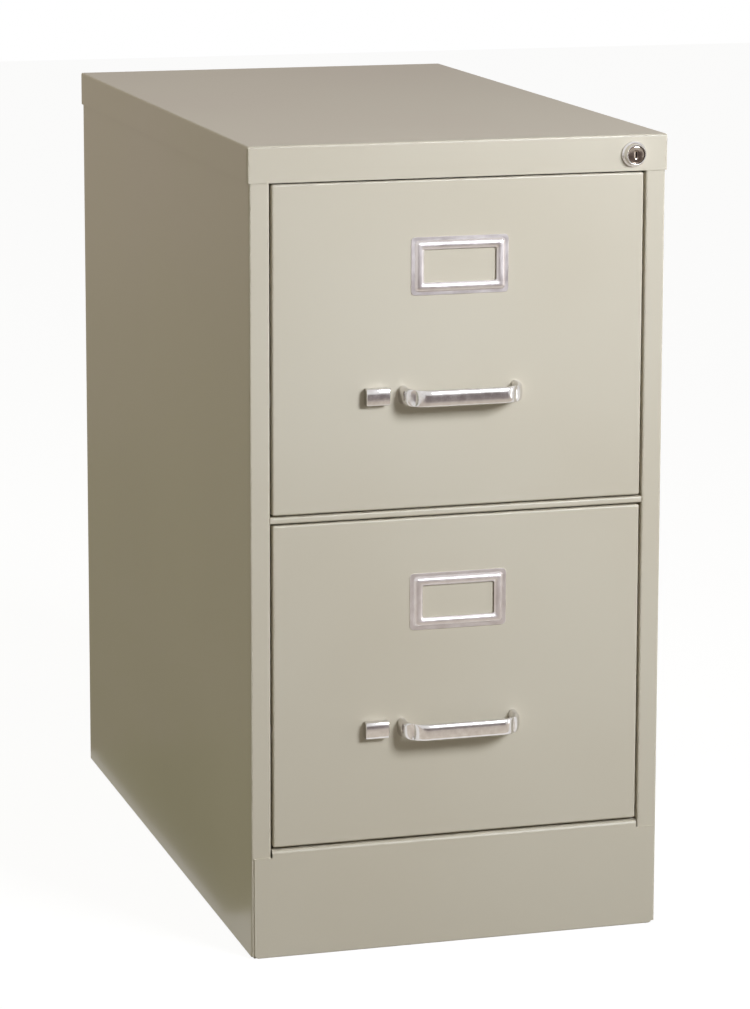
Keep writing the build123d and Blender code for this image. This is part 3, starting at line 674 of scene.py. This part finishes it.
def buildThumbCap(level, settings):
    lo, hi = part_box(f"{level}_thumb_latch")
    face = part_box(f"{level}_drawer_front")[0].y
    depth = settings["reach"] - settings["clearance"]
    middle = Vector(((lo.x + hi.x) / 2, face - settings["clearance"] - depth / 2, (lo.z + hi.z) / 2))
    bm = bmesh.new()
    cube = bmesh.ops.create_cube(bm, size=1.0)["verts"]
    flatten = settings["rollDepth"] / settings["roll"]
    bmesh.ops.scale(bm, verts=cube, vec=(settings["width"], depth / flatten, settings["height"]))
    frontEdges = [
        edge for edge in bm.edges
        if all(vert.co.y < 0 for vert in edge.verts)
        and abs(edge.verts[0].co.z - edge.verts[1].co.z) < tolerance
    ]
    bmesh.ops.bevel(
        bm, geom=frontEdges, offset=settings["roll"], segments=settings["rollSteps"], profile=0.5,
        affect="EDGES", material=-1,
    )
    bmesh.ops.scale(bm, verts=bm.verts[:], vec=(1.0, flatten, 1.0))
    rimAngle = math.radians(settings["rimAngle"])
    rims = [edge for edge in bm.edges if edge.calc_face_angle(0) > rimAngle]
    bmesh.ops.bevel(
        bm, geom=rims, offset=settings["edge"], segments=settings["edgeSteps"], profile=0.5,
        affect="EDGES", material=-1,
    )
    bmesh.ops.translate(bm, verts=bm.verts[:], vec=middle)
    stem = bmesh.ops.create_cube(bm, size=1.0)["verts"]
    stemLength = settings["stemDepth"] + settings["clearance"]
    bmesh.ops.scale(bm, verts=stem, vec=(settings["stem"], stemLength, settings["stem"]))
    stemY = face + settings["stemDepth"] - stemLength / 2
    bmesh.ops.translate(bm, verts=stem, vec=(middle.x, stemY, middle.z))
    newPiece(
        bm, f"{level}_thumb_cap", f"{level}_latch", materials["chromePlate"],
        [f"{level}_thumb_latch"], smoothAngle=settings["smoothAngle"],
    )


# Lock: turned bezel with a base flange and a tapered boss, and a domed plug with its keyway. Lengths
# are in mm: the bezel's points are (radius, place behind the lid's front), the keyway's measures are
# (width, height, corner) and its bevel's are (width, depth).

lockTrim = {
    "bezel": (
        (9.5, 2.0), (11.0, 2.0), (11.35, -0.1), (11.35, -0.9), (11.15, -1.45), (10.6, -1.8), (10.1, -2.0),
        (9.85, -2.3), (9.7, -2.8), (8.95, -6.5), (8.85, -7.1), (8.6, -7.45), (8.35, -7.45), (8.1, -7.2),
        (8.0, -6.7), (7.95, -5.9), (7.95, 18.0), (9.5, 18.0),
    ),
    "turnSteps": 72,
    "smoothAngle": 50,
    "plugRadius": 7.75,
    "plugEdge": 0.35,
    "plugSet": 6.3,
    "plugDome": 0.5,
    "plugRings": 5,
    "keyway": (1.5, 5.6, 0.7),
    "keywayBevel": (1.0, 0.7),
    "keywayDepth": 9.0,
    "keywaySteps": 7,
}


def buildBezel(settings):
    lo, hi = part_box("lock_housing")
    center = Vector(((lo.x + hi.x) / 2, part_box("top_cap")[0].y, (lo.z + hi.z) / 2))
    bm = bmesh.new()
    verts = [bm.verts.new((center.x + r * mm, center.y + y * mm, center.z)) for r, y in settings["bezel"]]
    edges = [bm.edges.new(pair) for pair in zip(verts, verts[1:] + verts[:1])]
    bmesh.ops.spin(
        bm, geom=verts + edges, axis=(0, 1, 0), cent=center, angle=math.tau,
        steps=settings["turnSteps"], use_merge=True,
    )
    newPiece(
        bm, "lock_bezel", "cabinet", materials["chromePlate"], ["lock_housing"],
        smoothAngle=settings["smoothAngle"],
    )
    return center


def buildPlug(settings, center):
    rim = center.y - settings["plugSet"] * mm
    radius, edge, dome = (settings[key] * mm for key in ("plugRadius", "plugEdge", "plugDome"))
    bevel, bevelDepth = (value * mm for value in settings["keywayBevel"])
    width, height, corner = (value * mm for value in settings["keyway"])
    mouth = (width + 2 * bevel, height + 2 * bevel, corner + bevel)
    lip = (2 * (radius - edge), 2 * (radius - edge), radius - edge)
    contours = [
        (width, height, corner, rim + settings["keywayDepth"] * mm),
        (width, height, corner, rim - dome + bevelDepth),
    ]
    for ring in range(settings["plugRings"] + 1):
        share = ring / settings["plugRings"]
        contours.append([inner + (outer - inner) * share for inner, outer in zip(mouth, lip)] + [rim])
    contours.append((2 * radius, 2 * radius, radius, rim + edge))
    contours.append((2 * radius, 2 * radius, radius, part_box("lock_plug")[1].y))
    bm = bmesh.new()
    throat, back = loopStack(bm, center, contours, settings["keywaySteps"])
    for vert in bm.verts:
        out = math.hypot(vert.co.x - center.x, vert.co.z - center.z) / radius
        if abs(vert.co.y - rim) < tolerance:
            vert.co.y -= dome * max(0.0, 1 - out * out)
    bmesh.ops.edgeloop_fill(bm, edges=throat)
    bmesh.ops.edgeloop_fill(bm, edges=back)
    bmesh.ops.remove_doubles(bm, verts=bm.verts[:], dist=weldDistance)
    newPiece(
        bm, "lock_plug_face", "lock_plug", materials["nickelPlate"], ["lock_plug"],
        smoothAngle=settings["smoothAngle"],
    )


for level in levels:
    buildPull(level, pull)
    buildCardFrame(level, cardFrame)
    buildThumbCap(level, thumbCap)
buildPlug(lockTrim, buildBezel(lockTrim))
print("pulls, card frames, thumb caps and lock built")
